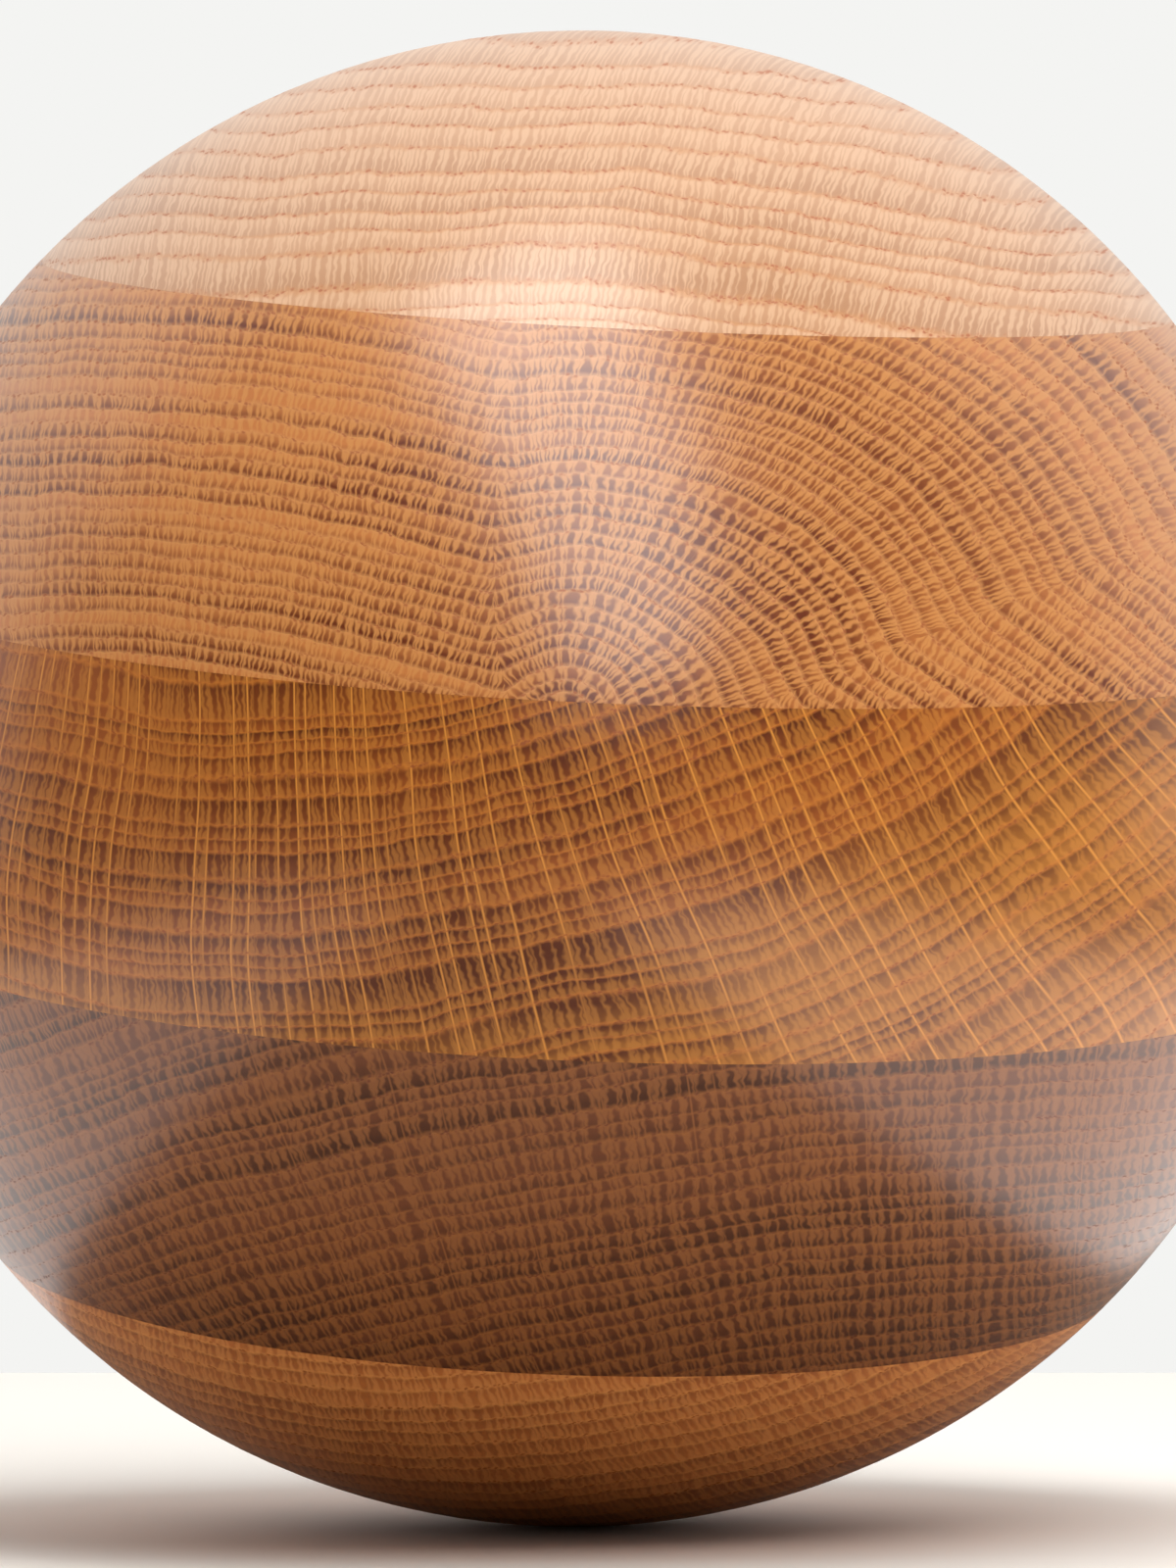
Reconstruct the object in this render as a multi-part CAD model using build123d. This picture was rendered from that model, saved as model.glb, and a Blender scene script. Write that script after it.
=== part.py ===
from build123d import *
from math import atan2, cos, degrees, pi, sqrt
import os

# Laminated wooden egg: five oak boards glued face to face, then turned into an egg.
#
# The egg is first drawn in its own frame, with the turning axis on X, the pointed end at +X
# and the boards stacked along Z. It is then laid down as it comes to rest on its side.

# Driving dimensions, in millimetres and degrees.
egg_diameter = 100.5      # widest round section of the egg
egg_length = 130.6        # tip to tip, along the turning axis
pointedness = 0.2         # near 0 both ends are alike; more makes the pointed end slimmer
board_thickness = 22.0    # planed thickness of the boards, from one glue plane to the next
board_roll = 3.8          # how far the stack of boards is rolled about the long axis
blank_margin = 5.0        # wood turned away all round at the egg's widest and longest
outline_spans = 16        # spans of the outline's curve, from the blunt tip to the pointed one

board_names = ["bottom_board", "lower_board", "middle_board", "upper_board", "top_board"]


def outline_radius(along):
    """Radius of the egg's section at along: -1 at the blunt tip, +1 at the pointed tip."""
    taper = sqrt((1 - along ** 2) / (1 + pointedness * along))
    widest_taper = sqrt(2 * (1 - sqrt(1 - pointedness ** 2))) / pointedness
    return egg_diameter / 2 * taper / widest_taper


def outline_curve():
    """Half outline of the egg, above the turning axis, from tip to tip."""
    points = []
    for step in range(outline_spans + 1):
        along = -cos(pi * step / outline_spans)
        is_tip = step in (0, outline_spans)
        radius = 0 if is_tip else outline_radius(along)
        points.append((egg_length / 2 * along, radius))
    return Spline(points, tangents=[(0, 1), (0, -1)], tangent_scalars=[1, 1])


def half_eggs(curve):
    """The egg as two half turns that meet on the upright plane through its axis.

    Each tip then lies on the edge of both halves, which keeps the boards' faces simple.
    """
    axis_line = Line(curve @ 1, curve @ 0)
    half_turn = revolve(make_face([curve, axis_line]), Axis.X, 180)
    return [Rot(X=90) * half_turn, Rot(X=-90) * half_turn]


def resting_tilt(curve, egg_half):
    """Angle that the pointed end drops by when the egg lies still on its side.

    An egg comes to rest on the point of its side that is nearest to its centre of mass.
    """
    balance = egg_half.center(CenterOf.MASS).X
    touch = curve.distance_to_with_closest_points(Vertex(balance, 0, 0))[1]
    return degrees(atan2(touch.X - balance, touch.Y))


def turned_board(halves, low, high):
    """What turning leaves of the board that lies between the heights low and high."""
    length = egg_length + 2 * blank_margin
    width = egg_diameter + 2 * blank_margin
    upright_board = Pos(Z=(low + high) / 2) * Box(length, width, high - low)
    board = Rot(X=-board_roll) * upright_board
    left_part, right_part = [(half & board).solid() for half in halves]
    return left_part.fuse(right_part)


def lay_down(solid, tilt):
    """Turn the pointed end towards -Y and drop it by the tilt."""
    return Rot(X=tilt) * Rot(Z=-90) * solid


curve = outline_curve()
halves = half_eggs(curve)
tilt = resting_tilt(curve, halves[0])

# The glue planes are evenly spaced about the axis; the two outer boards end past the egg.
board_count = len(board_names)
glue_planes = [(n - board_count / 2) * board_thickness for n in range(1, board_count)]
blank_face = egg_diameter / 2 + blank_margin
board_faces = [-blank_face, *glue_planes, blank_face]

# The origin is on the table, under the middle of the lying egg, whose length and height
# are those of its outline in the upright plane through its axis.
upright_outline = Compound([lay_down(Rot(X=side) * curve, tilt) for side in (90, -90)])
lying_box = upright_outline.bounding_box()
on_table = Pos(0, -lying_box.center().Y, -lying_box.min.Z)

os.makedirs("parts", exist_ok=True)
for name, low, high in zip(board_names, board_faces, board_faces[1:]):
    board = on_table * lay_down(turned_board(halves, low, high), tilt)
    board.label = name
    export_step(board, f"parts/{name}.step")
    print(name, "volume", round(board.volume), "mm3")

print("resting tilt", round(tilt, 3), "degrees")
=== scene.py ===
"""Looks for the laminated oak egg: each board's own end grain, an oiled finish, and a stage."""
from math import cos, radians, sin

import bpy
from bpy.props import FloatProperty, FloatVectorProperty, PointerProperty
from mathutils import Matrix, Vector

bl_info = {
    "name": "Laminated oak egg",
    "version": (1, 0, 0),
    "blender": (4, 5, 0),
    "location": "3D View > Sidebar > Oak egg",
    "description": "Finishes the five boards of a turned oak egg and lights it on a table",
    "category": "Object",
}

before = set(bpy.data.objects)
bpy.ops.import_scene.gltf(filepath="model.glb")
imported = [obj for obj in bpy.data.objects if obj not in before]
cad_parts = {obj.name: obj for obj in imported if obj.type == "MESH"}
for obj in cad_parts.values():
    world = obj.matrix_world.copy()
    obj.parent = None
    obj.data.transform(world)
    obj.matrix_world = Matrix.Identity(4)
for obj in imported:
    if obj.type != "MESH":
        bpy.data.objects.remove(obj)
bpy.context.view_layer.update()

MM = 0.001
EGG_TILT = radians(6.094)                    # the long axis dips this much at the pointed end
EGG_MIDDLE = Vector((0.0, -0.05, 49.74))     # middle of the long axis, in mm
BOARD_NAMES = ("bottom_board", "lower_board", "middle_board", "upper_board", "top_board")

# How each board was sawn from its log, and its tone. Lengths are in mm. A second pith gives a
# second family of rings, like a branch's, and starts it that far out; 999 leaves it out.
NO_FORK = dict(second_x=0, second_z=0, second_start=999)
BOARDS = {
    "top_board": dict(
        pith_x=-6, pith_z=-110, **NO_FORK, squeeze=1.0, ring=1.3, uneven=1.3, wave=3.0,
        ray_gap=9.0, rays=0.1, flames=0.6, patch=0.6, outer_from=999, seed=1.3,
        pale="#D7AE8A", middle="#BE8F6A", dark="#AC7C57", outer="#C19471", line="#BE8351",
        pore="#A24E22"),
    # Upper board: its outer tone, over the board's top and left, is partly the wood's own tone and
    # partly a painted highlight, made paler and greyer to stand for the sheen there.
    "upper_board": dict(
        pith_x=5.6, pith_z=8.8, second_x=-22, second_z=-55, second_start=-66.5, squeeze=0.8,
        ring=0.86, uneven=0.5, wave=0.9, ray_gap=6.0, rays=0.1, flames=0.85, patch=0.8,
        outer_from=26, seed=4.7, pale="#BE8044", middle="#87471A", dark="#612709",
        outer="#B36D37", line="#BF834B", pore="#924315"),
    "middle_board": dict(
        pith_x=-18, pith_z=92, **NO_FORK, squeeze=1.0, ring=1.2, uneven=1.8, wave=3.0,
        ray_gap=1.15, rays=1.0, flames=0.38, patch=0.8, outer_from=100.5, seed=8.1,
        pale="#C48031", middle="#884512", dark="#552306", outer="#995D1A", line="#B56B24",
        pore="#863E0C"),
    "lower_board": dict(
        pith_x=22, pith_z=-130, **NO_FORK, squeeze=1.0, ring=1.15, uneven=1.4, wave=2.4,
        ray_gap=2.2, rays=0.6, flames=0.6, patch=0.6, outer_from=999, seed=12.9,
        pale="#945B2C", middle="#68381D", dark="#452310", outer="#68381D", line="#8F5628",
        pore="#60250C"),
    "bottom_board": dict(
        pith_x=-10, pith_z=60, **NO_FORK, squeeze=1.0, ring=1.15, uneven=0.9, wave=1.8,
        ray_gap=4.0, rays=0.2, flames=0.45, patch=0.4, outer_from=999, seed=17.4,
        pale="#E49A54", middle="#BA6E35", dark="#915024", outer="#BA6E35", line="#DA934D",
        pore="#97461C"),
}

# What each value of a board's look sets, for its tooltip.
LOOK_WORDS = {
    "pith_x": "Pith's place across the board, in mm from the egg's axis",
    "pith_z": "Pith's height, in mm from the egg's axis",
    "second_x": "Second pith's place across the board, in mm from the egg's axis",
    "second_z": "Second pith's height, in mm from the egg's axis",
    "second_start": "How far the second family of rings starts from its pith, in mm",
    "squeeze": "How much the rings are flattened to the right of the pith; 1 is round",
    "ring": "Width of a year's ring, in mm",
    "uneven": "How much wider some rings are than others",
    "wave": "How far the rings wander, in mm",
    "ray_gap": "Spacing of the broad rays, in mm",
    "rays": "Strength of the broad rays",
    "flames": "Strength of the pale flames in the late wood",
    "patch": "Strength of the light and dark patches",
    # On the upper board the outer tone that starts here is partly a painted highlight.
    "outer_from": "Distance from the pith where the outer wood's tone starts, in mm",
    "seed": "Any number: another piece of the same wood",
    "pale": "Rays and flames",
    "middle": "Wood between the rings",
    "dark": "Densest wood",
    # On the upper board, the outer tone is partly a painted highlight over the top and left.
    "outer": "Wood of the outer rings",
    "line": "Early wood line of each ring",
    "pore": "Open pores",
}

# The wood's fine structure, which all the boards share. Lengths are in mm, and three of them run
# across the board, along the grain and up. Four numbers are a ramp: from, to, and its two ends.
SLOW_WAVE = (18, 110, 18)             # the rings' slow waves
RIPPLE = (3, 50, 3)                   # the small waves on top
RIPPLE_SHIFT = 0.55                   # how far a ripple moves the rings
CRINKLE = (1 / 2.4, 30, 1 / 2.4)      # the unevenness of a ring's or a flame's edge
RING_CRINKLE = 0.2                    # of a ring's width
SIDE_CRINKLE = 0.8                    # of a flame's room, at its sides
TIP_CRINKLE = 0.5                     # of a ring's width, at a flame's tip
FLATTENING = (1.0, 14.0)              # right of the pith, where rings begin and end to flatten
VALLEY_ROUNDING = 1.2                 # where two families of rings meet
UNEVEN_STEP = 0.37                    # steps of the ring widths' noise for each ring
LINE_HALF = 0.22                      # half the width of an early wood line
FLAME_GAP = 0.29                      # room for a flame, where the fine rays are closest
FLAME_JITTER = 0.5                    # how far a flame strays, in its own room
FLAME_UNEVEN = 0.9                    # spread of the flames' spacing
FLAME_KEYS = 37.0                     # tells the flames of one ring from the next ring's
FLAME_LENGTH = 0.5                    # how much a flame's own length varies, of a ring's width
FLAME_HALF = (0.3, 1.6, 0.05, 0.42)   # half width across the ring, in its own room
FLAME_EDGE = 0.22                     # softness of a flame's edge, in its own room
RAY_HALF = 0.12                       # half the width of a broad ray
RAY_UNEVEN = 0.8                      # spread of the broad rays' spacing
RAY_PITH = 25.0                       # broad rays spread as from a pith at least this far away
RAY_OWN = 0.35                        # how much one broad ray differs from the next
RAY_RUN = (1.0, 1.3, 0.09)            # how fast a ray fades: across rays, along, outwards
RAY_FADE = (0.40, 0.75, 0.0, 1.0)     # the noise that hides a ray, and that shows it
GRAIN_RUN = 25                        # along the grain, the unit of pores and rays
PORE_RUN = 3.0                        # pores in each such unit
PORE_ROOM = (0.38, 0.3)               # round the ring, and outwards
PORE_UNEVEN = 0.85                    # spread of the pores' places
PORE_SIZE = (0.15, 0.5, 1.0, 0.0)     # in its own room
RING_EASE = (0.1, 0.8, 0.65, 0.2)     # darkness across a ring
RING_CONTRAST = 0.8                   # how much the darkness of rings varies
PATCH = (16, 80, 8)                   # light and dark patches over the board
PATCH_CONTRAST = 2.4                  # darkness between the noise's ends
OUTER_FADE = (-4.0, 3.0, 0.0, 1.0)    # where the outer wood's tone comes in
FORK_FADE = (-5.0, 5.0, 0.0, 1.0)     # the same, past the valley
LINE_SHOWS = 0.6                      # strength of an early wood line over the wood
PORE_SHOWS = 0.8                      # strength of a pore over the line
OIL_ROUGHNESS = 0.3                   # of the oiled wood
PORE_ROUGHNESS = 0.2                  # that an open pore adds
RUBBING = (1 / 1.5, 1 / 0.15, 1 / 1.5)    # streaks that the rubbing leaves
RUBBING_DEPTH = 0.02

# The stage, in metres.
TABLE_HALF_WIDTH, TABLE_FRONT, TABLE_DROP = 3, -2, 0.6
BACKDROP_HALF_WIDTH, BACKDROP_BACK, BACKDROP_FOOT, BACKDROP_TOP = 6, 2.5, -2, 5
SOFTBOX_PLACE, SOFTBOX_SIZE = (0.15, -0.27, 0.74), (0.38, 1.2)
REFLECTOR_SIDE, REFLECTOR_HEIGHT, REFLECTOR_SIZE = 0.11, 0.003, (0.12, 0.36)
REFLECTOR_BALANCE = 0.15              # how much stronger the right one is, and weaker the left
STUDIO_DEPTH = (-0.7, 0.9)            # where the even light goes from dim to bright
STUDIO_IN_GLOSS = 0.15                # share of the even light that the oil's sheen shows
CAMERA_SIDESTEP = 1.1 * MM            # to the right of the line to the egg's middle
SENSOR_WIDTH = 36                     # in mm, as the lens
CLIP_NEAR, CLIP_FAR = 0.01, 50


def linear(hex_colour):
    """An sRGB hex colour as linear RGBA."""
    channels = [int(hex_colour[i:i + 2], 16) / 255 for i in (1, 3, 5)]
    return [c / 12.92 if c <= 0.04045 else ((c + 0.055) / 1.055) ** 2.4 for c in channels] + [1]


def add_node(tree, kind, settings=None, *inputs, **named_inputs):
    """Add a node, set its settings, and link or fill its inputs by place or by name."""
    node = tree.nodes.new(kind)
    for key, value in (settings or {}).items():
        setattr(node, key, value)
    pairs = [(node.inputs[i], value) for i, value in enumerate(inputs) if value is not None]
    by_identifier = {socket.identifier: socket for socket in node.inputs}
    for key, value in named_inputs.items():
        name = key.replace("_", " ")
        pairs.append((by_identifier[key] if key in by_identifier else node.inputs[name], value))
    for socket, value in pairs:
        if isinstance(value, bpy.types.Node):
            value = next(out for out in value.outputs if out.enabled)
        if isinstance(value, bpy.types.NodeSocket):
            tree.links.new(value, socket)
        else:
            socket.default_value = value
    return node


def per(*lengths):
    """Scales that make a pattern's unit as long as each of the lengths."""
    return tuple(1 / length for length in lengths)


def oak_group():
    """Node group for solid oak: rings about a pith, flames, rays and pores, run along the grain.

    Its vector is in mm with the grain along Y, and everything is worked out from there, so the
    same wood shows as end grain on the tips and as long grain on the sides.
    """
    tree = bpy.data.node_groups.new("solid oak", "ShaderNodeTree")
    sockets = tree.interface
    sockets.new_socket("Vector", in_out="INPUT", socket_type="NodeSocketVector")
    for key, value in BOARDS["top_board"].items():
        kind = "NodeSocketColor" if isinstance(value, str) else "NodeSocketFloat"
        sockets.new_socket(key, in_out="INPUT", socket_type=kind)
    sockets.new_socket("Color", in_out="OUTPUT", socket_type="NodeSocketColor")
    sockets.new_socket("Roughness", in_out="OUTPUT", socket_type="NodeSocketFloat")

    given = add_node(tree, "NodeGroupInput").outputs
    place, seed = given["Vector"], given["seed"]
    math, vector, ramp, mix = (
        "ShaderNodeMath", "ShaderNodeVectorMath", "ShaderNodeMapRange", "ShaderNodeMix")
    noise, cells, chance, parts = (
        "ShaderNodeTexNoise", "ShaderNodeTexVoronoi", "ShaderNodeTexWhiteNoise",
        "ShaderNodeSeparateColor")
    add, subtract, multiply, divide, multiply_add, maximum, absolute, arctangent = (
        {"operation": word} for word in ("ADD", "SUBTRACT", "MULTIPLY", "DIVIDE", "MULTIPLY_ADD",
                                         "MAXIMUM", "ABSOLUTE", "ARCTAN2"))
    noise_line, noise_solid, noise_seeded = (
        {"noise_dimensions": size} for size in ("1D", "3D", "4D"))
    smooth = {"interpolation_type": "SMOOTHSTEP"}
    colour = {"data_type": "RGBA"}
    half_way = (0.5, 0.5, 0.5)

    # Slow waves in the rings, long along the grain, and small ripples on top of them. A finer
    # crinkle roughens the rings and the outlines of the flames.
    slow_place = add_node(tree, vector, multiply, place, per(*SLOW_WAVE))
    slow = add_node(tree, noise, noise_seeded, slow_place, seed, Scale=1.0, Detail=1.0)
    slow_shift = add_node(tree, vector, subtract, slow.outputs["Color"], half_way)
    slow_shift = add_node(tree, vector, {"operation": "SCALE"}, slow_shift, Scale=given["wave"])
    quick_place = add_node(tree, vector, multiply, place, per(*RIPPLE))
    quick = add_node(tree, noise, noise_solid, quick_place, Scale=1.0, Detail=1.0)
    quick_shift = add_node(tree, vector, subtract, quick.outputs["Color"], half_way)
    quick_shift = add_node(tree, vector, {"operation": "SCALE"}, quick_shift, Scale=RIPPLE_SHIFT)
    crinkle_place = add_node(tree, vector, multiply, place, per(*CRINKLE))
    crinkle = add_node(tree, noise, noise_solid, crinkle_place, Scale=1.0, Detail=0.0)
    crinkle = add_node(tree, parts, None, crinkle.outputs["Color"]).outputs
    slowly_waved = add_node(tree, vector, add, place, slow_shift)
    waved = add_node(tree, vector, add, slowly_waved, quick_shift)

    # Distance from the pith and angle round it; the rings can be flattened to its right.
    split = add_node(tree, "ShaderNodeSeparateXYZ", None, waved).outputs
    across = add_node(tree, math, subtract, split["X"], given["pith_x"])
    away = add_node(tree, math, subtract, split["Z"], given["pith_z"])
    squeeze = add_node(tree, ramp, smooth, across, *FLATTENING, 1.0, given["squeeze"])
    squeezed = add_node(tree, math, multiply, across, squeeze)
    flat = add_node(tree, "ShaderNodeCombineXYZ", None, squeezed, 0.0, away)
    first = add_node(tree, vector, {"operation": "LENGTH"}, flat).outputs["Value"]
    away_size = add_node(tree, math, absolute, away)
    angle = add_node(tree, math, arctangent, squeezed, away_size)
    angle = add_node(tree, math, divide, angle, squeeze)

    # The same round the second pith. Where the two families meet, the rings make a valley.
    across = add_node(tree, math, subtract, split["X"], given["second_x"])
    away = add_node(tree, math, subtract, split["Z"], given["second_z"])
    flat = add_node(tree, "ShaderNodeCombineXYZ", None, across, 0.0, away)
    second = add_node(tree, vector, {"operation": "LENGTH"}, flat).outputs["Value"]
    second = add_node(tree, math, add, second, given["second_start"])
    second_angle = add_node(tree, math, arctangent, across, away)
    forked = add_node(tree, math, {"operation": "LESS_THAN"}, second, first)
    start = add_node(tree, math, multiply, forked, given["second_start"])
    angle = add_node(tree, mix, None, forked, A_Float=angle, B_Float=second_angle)
    distance = add_node(tree, math, {"operation": "SMOOTH_MIN"}, first, second, VALLEY_ROUNDING)
    along = add_node(tree, math, multiply, split["Y"], 1 / GRAIN_RUN)

    # Rings of uneven width; t runs from 0 at one early wood line to 1 at the next one out.
    even = add_node(tree, math, divide, distance, given["ring"])
    uneven_at = add_node(tree, math, multiply_add, even, UNEVEN_STEP, seed)
    uneven = add_node(tree, noise, noise_line, W=uneven_at, Scale=1.0, Detail=0.0)
    ring = add_node(tree, math, multiply_add, uneven, given["uneven"], even)
    ring = add_node(tree, math, multiply_add, crinkle["Blue"], RING_CRINKLE, ring)
    ring_number = add_node(tree, math, {"operation": "FLOOR"}, ring)
    t = add_node(tree, math, {"operation": "FRACT"}, ring)
    t_back = add_node(tree, math, subtract, 1.0, t)
    t_near = add_node(tree, math, {"operation": "MINIMUM"}, t, t_back)
    line_half = add_node(tree, math, divide, LINE_HALF, given["ring"])
    line = add_node(tree, ramp, smooth, t_near, 0.0, line_half, 1.0, 0.0)
    ring_tone = add_node(tree, chance, noise_line, W=ring_number)

    # Fine rays part the late wood into pale flames 0.3 to 0.6 mm apart, which widen outwards.
    # The number of fine rays doubles each time that the distance from the pith does.
    radius = add_node(tree, math, multiply, ring_number, given["ring"])
    radius = add_node(tree, math, subtract, radius, start)
    radius = add_node(tree, math, maximum, radius, 1.0)
    doublings = add_node(tree, math, {"operation": "LOGARITHM"}, radius, 2.0)
    doublings = add_node(tree, math, {"operation": "FLOOR"}, doublings)
    ray_radius = add_node(tree, math, {"operation": "POWER"}, 2.0, doublings)
    round_pith = add_node(tree, math, multiply, angle, ray_radius)
    round_ring = add_node(tree, math, multiply, angle, radius)
    flame_at = add_node(tree, math, multiply, round_pith, 1 / FLAME_GAP)
    lean = add_node(tree, parts, None, quick.outputs["Color"])
    flame_at = add_node(tree, math, multiply_add, lean, FLAME_JITTER, flame_at)
    flame_at = add_node(tree, math, multiply_add, ring_tone, FLAME_JITTER, flame_at)
    flame_at = add_node(tree, math, multiply_add, crinkle["Red"], SIDE_CRINKLE, flame_at)
    flame = add_node(tree, cells, {"voronoi_dimensions": "1D"}, W=flame_at, Scale=1.0,
                     Randomness=FLAME_UNEVEN).outputs
    own = add_node(tree, parts, None, flame["Color"])
    own = add_node(tree, math, multiply_add, own, FLAME_KEYS, ring_number)
    own = add_node(tree, chance, noise_line, W=own)
    t_own = add_node(tree, math, multiply_add, own, FLAME_LENGTH, t)
    t_own = add_node(tree, math, multiply_add, crinkle["Green"], TIP_CRINKLE, t_own)
    half = add_node(tree, ramp, smooth, t_own, *FLAME_HALF)
    inner = add_node(tree, math, subtract, half, FLAME_EDGE)
    outer = add_node(tree, math, add, half, FLAME_EDGE)
    flames = add_node(tree, ramp, smooth, flame["Distance"], inner, outer, 1.0, 0.0)
    flames = add_node(tree, math, multiply, flames, given["flames"])

    # Broad rays: thin pale lines that cross the rings, each with its own strength.
    plain = add_node(tree, "ShaderNodeSeparateXYZ", None, slowly_waved).outputs
    ray_x = add_node(tree, math, subtract, plain["X"], given["pith_x"])
    ray_z = add_node(tree, math, subtract, plain["Z"], given["pith_z"])
    ray_z = add_node(tree, math, absolute, ray_z)
    ray_angle = add_node(tree, math, arctangent, ray_x, ray_z)
    ray_at = add_node(tree, math, divide, ray_angle, given["ray_gap"])
    pith_far = add_node(tree, math, absolute, given["pith_z"])
    pith_far = add_node(tree, math, maximum, pith_far, RAY_PITH)
    ray_at = add_node(tree, math, multiply, ray_at, pith_far)
    ray = add_node(tree, cells, {"voronoi_dimensions": "1D"}, W=ray_at, Scale=1.0,
                   Randomness=RAY_UNEVEN).outputs
    ray_half = add_node(tree, math, divide, RAY_HALF, given["ray_gap"])
    ray_line = add_node(tree, ramp, smooth, ray["Distance"], 0.0, ray_half, 1.0, 0.0)
    ray_own = add_node(tree, parts, None, ray["Color"])
    ray_run = add_node(tree, "ShaderNodeCombineXYZ", None, ray_at, along, distance)
    ray_run = add_node(tree, vector, multiply, ray_run, RAY_RUN)
    ray_fade = add_node(tree, noise, noise_solid, ray_run, Scale=1.0, Detail=0.0)
    ray_fade = add_node(tree, math, multiply_add, ray_own, RAY_OWN, ray_fade)
    ray_fade = add_node(tree, ramp, smooth, ray_fade, *RAY_FADE)
    rays = add_node(tree, math, multiply, ray_line, ray_fade)
    rays = add_node(tree, math, multiply, rays, given["rays"])

    # Early wood pores: open vessels about 0.25 mm wide along the line, long along the grain.
    pore_at = add_node(tree, "ShaderNodeCombineXYZ", None, round_ring, along, distance)
    pore_scale = (1 / PORE_ROOM[0], PORE_RUN, 1 / PORE_ROOM[1])
    pore_at = add_node(tree, vector, multiply, pore_at, pore_scale)
    pore = add_node(tree, cells, {"voronoi_dimensions": "3D"}, pore_at, Scale=1.0,
                    Randomness=PORE_UNEVEN).outputs
    pores = add_node(tree, ramp, smooth, pore["Distance"], *PORE_SIZE)
    pore_band = add_node(tree, ramp, smooth, t_near, line_half, 0.0, 0.0, 1.0)
    pores = add_node(tree, math, multiply, pores, pore_band)

    # Tone: dark just outside each line, easing outwards, and slow patches over the board.
    ease = add_node(tree, ramp, smooth, t, *RING_EASE)
    patch_place = add_node(tree, vector, multiply, place, per(*PATCH))
    patch = add_node(tree, noise, noise_seeded, patch_place, seed, Scale=1.0, Detail=1.0)
    patch = add_node(tree, math, multiply_add, patch, PATCH_CONTRAST, -PATCH_CONTRAST / 2)
    patch = add_node(tree, math, multiply, patch, given["patch"])
    depth = add_node(tree, math, add, ease, patch)
    ring_shift = add_node(tree, math, multiply_add, ring_tone, RING_CONTRAST, -RING_CONTRAST / 2)
    depth = add_node(tree, math, {**add, "use_clamp": True}, depth, ring_shift)
    # The outer tone lies on the outer rings and, past the valley, over the second family. On the
    # upper board it is partly a painted highlight.
    outer_place = add_node(tree, math, subtract, distance, given["outer_from"])
    outwards = add_node(tree, ramp, smooth, outer_place, *OUTER_FADE)
    lead = add_node(tree, math, subtract, first, second)
    beyond = add_node(tree, ramp, smooth, lead, *FORK_FADE)
    outwards = add_node(tree, math, maximum, outwards, beyond)
    tone = add_node(tree, mix, colour, outwards, A_Color=given["middle"], B_Color=given["outer"])
    body = add_node(tree, mix, colour, depth, A_Color=tone, B_Color=given["dark"])
    pale = add_node(tree, math, maximum, flames, rays)
    wood = add_node(tree, mix, colour, pale, A_Color=body, B_Color=given["pale"])
    line_mix = add_node(tree, math, multiply, line, LINE_SHOWS)
    lined = add_node(tree, mix, colour, line_mix, A_Color=wood, B_Color=given["line"])
    pore_mix = add_node(tree, math, multiply, pores, PORE_SHOWS)
    pored = add_node(tree, mix, colour, pore_mix, A_Color=lined, B_Color=given["pore"])
    roughness = add_node(tree, math, multiply_add, pores, PORE_ROUGHNESS, OIL_ROUGHNESS)
    add_node(tree, "NodeGroupOutput", None, pored, roughness)
    return tree


def empty_material(name):
    """A material and its node tree, with no nodes yet."""
    material = bpy.data.materials.new(name)
    material.use_nodes = True
    material.node_tree.nodes.clear()
    return material, material.node_tree


def oak_material(name, look, group):
    """Oiled oak, rubbed smooth: warm, with a broad soft sheen over pores left a little open."""
    material, tree = empty_material(f"oiled oak, {name.replace('_', ' ')}")
    place = add_node(tree, "ShaderNodeTexCoord").outputs["Object"]
    turned = Matrix.Rotation(-EGG_TILT, 3, "X")
    grain = add_node(tree, "ShaderNodeMapping", {"vector_type": "POINT"}, place,
                     Scale=(1 / MM,) * 3, Rotation=(-EGG_TILT, 0, 0),
                     Location=-(turned @ EGG_MIDDLE))
    oak = add_node(tree, "ShaderNodeGroup", {"node_tree": group}, grain)
    for key, value in BOARDS[name].items():
        setting = getattr(look, key)
        oak.inputs[key].default_value = [*setting, 1] if isinstance(value, str) else setting
    streaks = add_node(tree, "ShaderNodeVectorMath", {"operation": "MULTIPLY"}, grain,
                       per(*RUBBING))
    rubbed = add_node(tree, "ShaderNodeTexNoise", None, streaks, Scale=1.0, Detail=1.0)
    bump = add_node(tree, "ShaderNodeBump", None, Height=rubbed, Strength=0.3,
                    Distance=RUBBING_DEPTH * MM)
    surface = add_node(tree, "ShaderNodeBsdfPrincipled", None, Base_Color=oak,
                       Roughness=oak.outputs["Roughness"], Normal=bump, IOR=1.5,
                       Specular_IOR_Level=0.6)
    add_node(tree, "ShaderNodeOutputMaterial", None, surface)
    return material


def light_studio(tree, front, behind):
    """White light from all round, bright behind the egg and dim in front, as in a studio.

    The oil's sheen shows only a part of it, as if most of the studio's walls were dark.
    """
    tree.nodes.clear()
    direction = add_node(tree, "ShaderNodeTexCoord").outputs["Generated"]
    depth = add_node(tree, "ShaderNodeSeparateXYZ", None, direction).outputs["Y"]
    strength = add_node(tree, "ShaderNodeMapRange", {"interpolation_type": "SMOOTHSTEP"}, depth,
                        *STUDIO_DEPTH, front, behind)
    path = add_node(tree, "ShaderNodeLightPath")
    dimmed = add_node(tree, "ShaderNodeMapRange", None, path.outputs["Is Glossy Ray"],
                      0.0, 1.0, 1.0, STUDIO_IN_GLOSS)
    strength = add_node(tree, "ShaderNodeMath", {"operation": "MULTIPLY"}, strength, dimmed)
    light = add_node(tree, "ShaderNodeBackground", None, linear("#FFFFFF"), strength)
    add_node(tree, "ShaderNodeOutputWorld", None, light)


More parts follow.
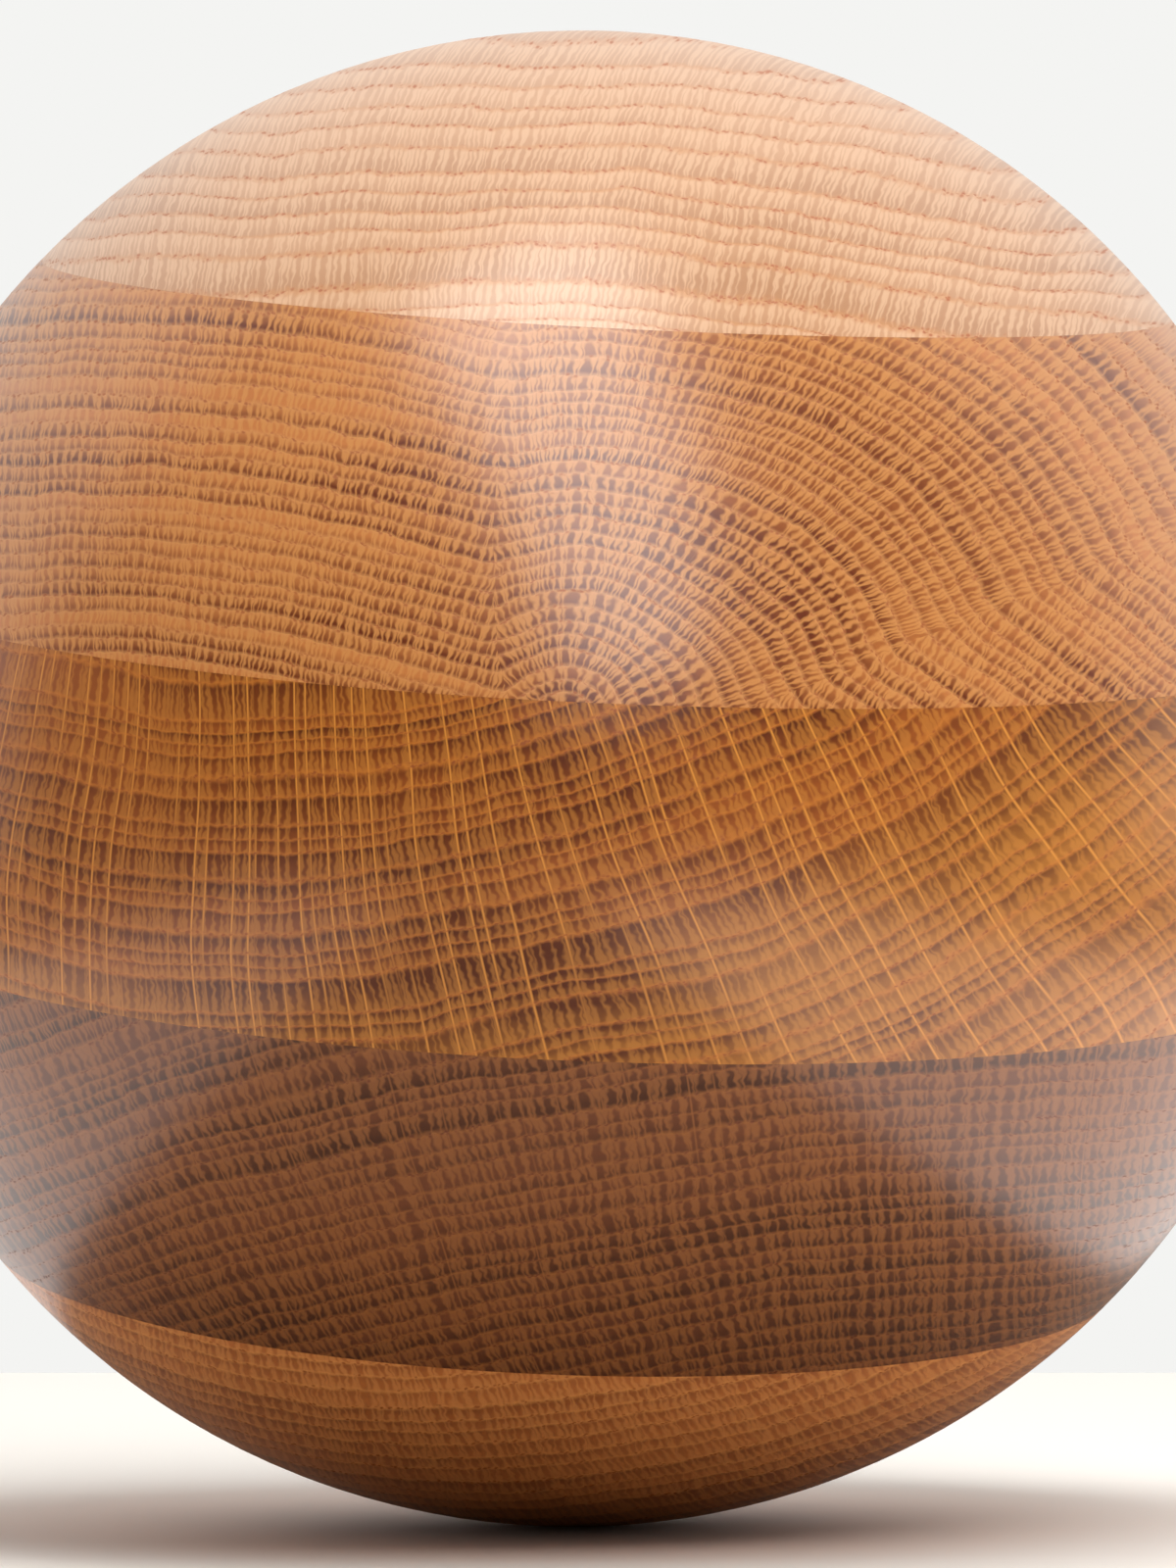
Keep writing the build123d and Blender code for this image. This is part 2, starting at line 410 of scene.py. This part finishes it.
def table_material(name, colour, painted_shade_in_sheen):
    """Warm white painted table top. The oil's sheen shows it in a darker colour: painted shade, as
    if the table in front of the egg lay in shadow.
    """
    material, tree = empty_material(name)
    path = add_node(tree, "ShaderNodeLightPath")
    shade = add_node(tree, "ShaderNodeMix", {"data_type": "RGBA"}, path.outputs["Is Glossy Ray"],
                     A_Color=linear(colour), B_Color=linear(painted_shade_in_sheen))
    surface = add_node(tree, "ShaderNodeBsdfPrincipled", None, Base_Color=shade, Roughness=0.6)
    add_node(tree, "ShaderNodeOutputMaterial", None, surface)
    return material


def glowing_material(name, colour):
    """An evenly lit white backdrop, as bright as its own colour."""
    material, tree = empty_material(name)
    light = add_node(tree, "ShaderNodeEmission", None, linear(colour), 1.0)
    add_node(tree, "ShaderNodeOutputMaterial", None, light)
    return material


class EggStage(bpy.types.PropertyGroup):
    """Where the camera stands and how bright the lights are."""
    azimuth: FloatProperty(
        name="Camera azimuth", description="Camera's turn to the right of the egg's long axis",
        default=radians(5.52), subtype="ANGLE")
    elevation: FloatProperty(
        name="Camera elevation", description="Camera's height above the egg's middle, as an angle",
        default=radians(-1.0), subtype="ANGLE")
    distance: FloatProperty(
        name="Camera distance", description="From the camera to the egg's middle",
        default=0.7035, subtype="DISTANCE", unit="LENGTH")
    lens: FloatProperty(
        name="Lens", description="Focal length", default=241.0, subtype="DISTANCE_CAMERA")
    table_depth: FloatProperty(
        name="Table depth", description="From the egg's middle to the table's back edge",
        default=0.267, subtype="DISTANCE", unit="LENGTH")
    lamp: FloatProperty(
        name="Softbox power", description="Power of the overhead softbox", default=8.2,
        subtype="POWER", unit="POWER")
    reflector: FloatProperty(
        name="Reflector power", description="Light that each card on the table throws up",
        default=0.15, subtype="POWER", unit="POWER")
    front: FloatProperty(
        name="Light in front", description="Strength of the even light in front", default=0.25)
    behind: FloatProperty(
        name="Light behind", description="Strength of the even light behind", default=1.25)


def board_look(name):
    """A PropertyGroup for the wood of one board, with that board's own defaults."""
    fields = {}
    for key, value in BOARDS[name].items():
        words = dict(name=key.replace("_", " ").capitalize(), description=LOOK_WORDS[key])
        if isinstance(value, str):
            fields[key] = FloatVectorProperty(default=linear(value)[:3], subtype="COLOR", size=3,
                                              min=0, max=1, **words)
        else:
            fields[key] = FloatProperty(default=value, **words)
    return type(f"{name}_look", (bpy.types.PropertyGroup,), {"__annotations__": fields})


BOARD_LOOKS = {name: board_look(name) for name in BOARD_NAMES}


class EGG_OT_finish_boards(bpy.types.Operator):
    """Give each board of the egg its own oak"""
    bl_idname = "egg.finish_boards"
    bl_label = "Finish the boards"

    def execute(self, context):
        group = oak_group()
        for name in BOARD_NAMES:
            material = oak_material(name, getattr(context.scene, f"{name}_look"), group)
            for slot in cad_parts[name].material_slots:
                slot.material = material
        return {"FINISHED"}


def add_area_light(name, place, target, size, power):
    """A soft white rectangular lamp that points at a target and isn't seen itself."""
    data = bpy.data.lights.new(name, "AREA")
    data.shape = "RECTANGLE"
    data.size, data.size_y = size
    data.energy = power
    lamp = bpy.data.objects.new(name, data)
    lamp.location = place
    lamp.visible_camera = False
    lamp.rotation_euler = (Vector(target) - Vector(place)).to_track_quat("-Z", "Y").to_euler()
    bpy.context.scene.collection.objects.link(lamp)


def add_slab(name, corners, material, turn):
    """A flat stage piece from its corners, turned about Z to face the camera."""
    mesh = bpy.data.meshes.new(name)
    spin = Matrix.Rotation(turn, 4, "Z")
    mesh.from_pydata([spin @ Vector(c) for c in corners], [], [tuple(range(len(corners)))])
    mesh.materials.append(material)
    piece = bpy.data.objects.new(name, mesh)
    bpy.context.scene.collection.objects.link(piece)


class EGG_OT_set_stage(bpy.types.Operator):
    """Add the table, the backdrop, the lamps and the camera"""
    bl_idname = "egg.set_stage"
    bl_label = "Set the stage"

    def execute(self, context):
        stage = context.scene.egg_stage
        middle = EGG_MIDDLE * MM
        turn = stage.azimuth
        # The second colour is painted shade: the table as the oil's sheen shows it.
        table = table_material("painted table top", "#EFE9E1", "#6E6358")
        side, front, back = TABLE_HALF_WIDTH, TABLE_FRONT, stage.table_depth
        add_slab("table_top", [(-side, front, 0), (side, front, 0), (side, back, 0),
                               (-side, back, 0)], table, turn)
        foot = -TABLE_DROP
        add_slab("table_edge", [(-side, back, foot), (-side, back, 0), (side, back, 0),
                                (side, back, foot)], table, turn)
        paper = glowing_material("lit backdrop paper", "#F4F4F2")
        side, back = BACKDROP_HALF_WIDTH, BACKDROP_BACK
        foot, top = BACKDROP_FOOT, BACKDROP_TOP
        add_slab("backdrop", [(-side, back, foot), (side, back, foot), (side, back, top),
                              (-side, back, top)], paper, turn)

        world = bpy.data.worlds.new("studio")
        world.use_nodes = True
        light_studio(world.node_tree, stage.front, stage.behind)
        context.scene.world = world
        add_area_light("overhead softbox", SOFTBOX_PLACE, middle, SOFTBOX_SIZE, stage.lamp)
        for name, side in (("left", -1), ("right", 1)):
            place = Vector((side * REFLECTOR_SIDE, 0, REFLECTOR_HEIGHT))
            power = stage.reflector * (1 + REFLECTOR_BALANCE * side)
            add_area_light(f"table reflector {name}", place, place + Vector((0, 0, 1)),
                           REFLECTOR_SIZE, power)

        data = bpy.data.cameras.new("camera")
        data.lens = stage.lens
        data.sensor_width = SENSOR_WIDTH
        data.clip_start, data.clip_end = CLIP_NEAR, CLIP_FAR
        camera = bpy.data.objects.new("camera", data)
        back_way = Vector((sin(turn) * cos(stage.elevation), -cos(turn) * cos(stage.elevation),
                           sin(stage.elevation)))
        right_way = Vector((cos(turn), sin(turn), 0))
        camera.location = middle + back_way * stage.distance + right_way * CAMERA_SIDESTEP
        camera.rotation_euler = (-back_way).to_track_quat("-Z", "Y").to_euler()
        context.scene.collection.objects.link(camera)
        context.scene.camera = camera
        context.scene.view_settings.view_transform = "Standard"
        return {"FINISHED"}


class EGG_PT_panel(bpy.types.Panel):
    """Lists the steps that finish the egg"""
    bl_idname = "EGG_PT_panel"
    bl_label = "Laminated oak egg"
    bl_space_type = "VIEW_3D"
    bl_region_type = "UI"
    bl_category = "Oak egg"

    def draw(self, context):
        for step in (EGG_OT_finish_boards, EGG_OT_set_stage):
            self.layout.operator(step.bl_idname)
        for key in EggStage.__annotations__:
            self.layout.prop(context.scene.egg_stage, key)
        for name in BOARD_NAMES:
            box = self.layout.box()
            box.label(text=name.replace("_", " ").capitalize())
            for key in BOARDS[name]:
                box.prop(getattr(context.scene, f"{name}_look"), key)


CLASSES = (EggStage, *BOARD_LOOKS.values(), EGG_OT_finish_boards, EGG_OT_set_stage, EGG_PT_panel)


def register():
    """Register the classes and hang their settings on the scene."""
    for cls in CLASSES:
        bpy.utils.register_class(cls)
    bpy.types.Scene.egg_stage = PointerProperty(type=EggStage)
    for name, look in BOARD_LOOKS.items():
        setattr(bpy.types.Scene, f"{name}_look", PointerProperty(type=look))


def unregister():
    """Take away what register added, in the opposite order."""
    for name in BOARD_NAMES:
        delattr(bpy.types.Scene, f"{name}_look")
    del bpy.types.Scene.egg_stage
    for cls in reversed(CLASSES):
        bpy.utils.unregister_class(cls)


def main():
    """Finish the egg and set the stage."""
    register()
    bpy.ops.egg.finish_boards()
    bpy.ops.egg.set_stage()


if __name__ == "__main__":
    main()
